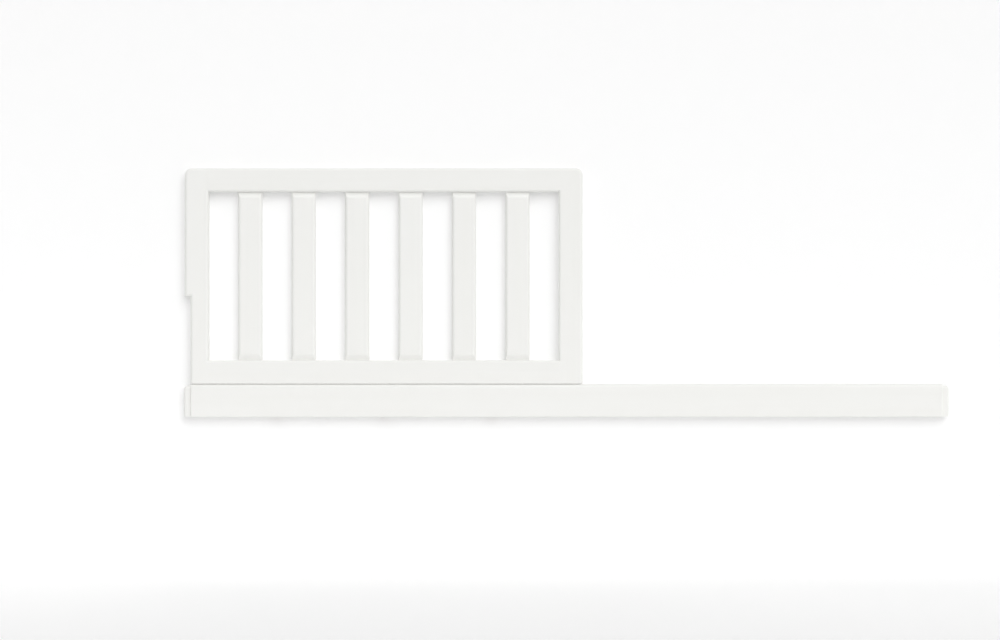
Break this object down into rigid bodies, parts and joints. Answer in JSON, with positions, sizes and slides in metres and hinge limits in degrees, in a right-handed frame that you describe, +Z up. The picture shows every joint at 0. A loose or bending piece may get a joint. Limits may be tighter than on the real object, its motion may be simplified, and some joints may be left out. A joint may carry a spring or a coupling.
{
  "type": "toddler bed guard rail",
  "caption": "Slatted guard standing on the left half of a full-length low rail; bolts between two crib posts to close the lower front of a toddler bed.",
  "frame": {"origin": "middle of the rail's underside: halfway along its length and thickness", "axes": "+X along the rail towards its open right end, +Y away from the room towards the mattress, +Z up"},
  "size_m": [1.33, 0.022, 0.432],
  "materials": {
    "white_lacquered_wood": "satin white lacquer",
    "beech_dowel": "bare beech",
    "zinc_steel": "zinc plated"
  },
  "bodies": {
    "kit": {"long_rail": "white_lacquered_wood", "guard_top_rail": "white_lacquered_wood", "guard_bottom_rail": "white_lacquered_wood", "left_stile": "white_lacquered_wood", "right_stile": "white_lacquered_wood", "slat_1": "white_lacquered_wood", "slat_2": "white_lacquered_wood", "slat_3": "white_lacquered_wood", "slat_4": "white_lacquered_wood", "slat_5": "white_lacquered_wood", "slat_6": "white_lacquered_wood", "corner_dowels_top_left": "beech_dowel", "corner_dowels_top_right": "beech_dowel", "corner_dowels_bottom_left": "beech_dowel", "corner_dowels_bottom_right": "beech_dowel", "seat_dowels": "beech_dowel", "guard_bolt_left": "zinc_steel", "guard_bolt_middle": "zinc_steel", "guard_bolt_right": "zinc_steel", "guard_flat_washer_left": "zinc_steel", "guard_flat_washer_middle": "zinc_steel", "guard_flat_washer_right": "zinc_steel", "guard_spring_washer_left": "zinc_steel", "guard_spring_washer_middle": "zinc_steel", "guard_spring_washer_right": "zinc_steel", "guard_nut_left": "zinc_steel", "guard_nut_middle": "zinc_steel", "guard_nut_right": "zinc_steel"},
    "left_rail_nut": {"left_rail_nut": "zinc_steel"},
    "right_rail_nut": {"right_rail_nut": "zinc_steel"},
    "stile_nut": {"stile_nut": "zinc_steel"}
  },
  "joints": [
    {"name": "left_rail_nut_turn", "type": "hinge", "parent": "kit", "child": "left_rail_nut", "pos_m": [-0.625, 0, 0.0285], "axis": [0, 1, 0], "continuous": true},
    {"name": "right_rail_nut_turn", "type": "hinge", "parent": "kit", "child": "right_rail_nut", "pos_m": [0.625, 0, 0.0285], "axis": [0, 1, 0], "continuous": true},
    {"name": "stile_nut_turn", "type": "hinge", "parent": "kit", "child": "stile_nut", "pos_m": [-0.641, 0, 0.322], "axis": [0, 1, 0], "continuous": true}
  ]
}
